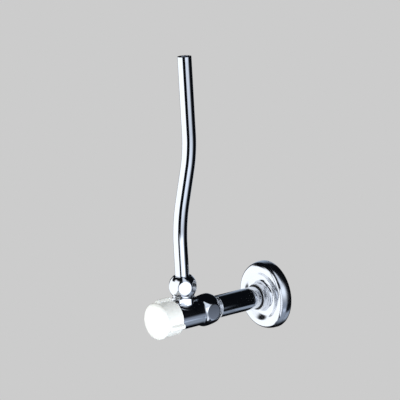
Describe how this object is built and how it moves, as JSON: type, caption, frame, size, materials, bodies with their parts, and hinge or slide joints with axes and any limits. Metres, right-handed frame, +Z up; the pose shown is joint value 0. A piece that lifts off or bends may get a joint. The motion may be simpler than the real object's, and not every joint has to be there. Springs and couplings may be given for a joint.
{
  "type": "angle stop valve",
  "caption": "Chrome angle stop valve with a ribbed white knob, a ball nut holding a bent riser tube, and a straight wall pipe with a sliding round wall flange.",
  "frame": {"origin": "point where the inlet axis meets the face of the wall, at the back edge of the wall flange", "axes": "+Y along the inlet axis into the wall, -Y out to the knob, +Z up the riser tube, +X to the right as seen from the knob"},
  "size_m": [0.0494, 0.1197, 0.2093],
  "materials": {
    "chrome": "bright chrome plate on polished brass",
    "white_plastic": "moulded, smooth with a soft gloss",
    "brass": "turned brass",
    "stainless_steel": "plain stainless steel",
    "black_rubber": "moulded rubber",
    "red_fibre": "pressed vulcanised fibre",
    "ptfe": "waxy white PTFE"
  },
  "bodies": {
    "valve": {"valve_body": "chrome", "seat_ring": "stainless_steel", "headpart": "brass", "head_gasket": "red_fibre", "thrust_washer": "ptfe", "wall_pipe": "chrome", "inlet_gasket": "red_fibre", "wall_thread_seal": "ptfe"},
    "handwheel": {"knob": "white_plastic", "knob_cap": "white_plastic", "knob_screw": "stainless_steel", "spindle": "brass", "spindle_clip": "stainless_steel", "spindle_seal_front": "black_rubber", "spindle_seal_rear": "black_rubber"},
    "plug": {"valve_plug": "brass", "plug_washer": "black_rubber", "plug_screw": "brass"},
    "riser": {"riser_tube": "chrome", "olive": "brass", "compression_nut": "chrome"},
    "flange": {"wall_flange": "chrome", "flange_grip_ring": "black_rubber"}
  },
  "joints": [
    {"name": "knob_turn", "type": "hinge", "parent": "valve", "child": "handwheel", "pos_m": [0, -0.0976, 0], "axis": [0, -1, 0], "range_deg": [0, 810]},
    {"name": "plug_lift", "type": "slide", "parent": "valve", "child": "plug", "axis": [0, -1, 0], "range_m": [0, 0.0034]},
    {"name": "riser_swivel", "type": "hinge", "parent": "valve", "child": "riser", "pos_m": [0, -0.08, 0.021], "axis": [0, 0, 1], "range_deg": [-180, 180]},
    {"name": "flange_slide", "type": "slide", "parent": "valve", "child": "flange", "axis": [0, -1, 0], "range_m": [0, 0.035]}
  ],
  "couplings": [
    {"joint": "plug_lift", "follows": "knob_turn", "m_per_rad": 0.00023873}
  ]
}
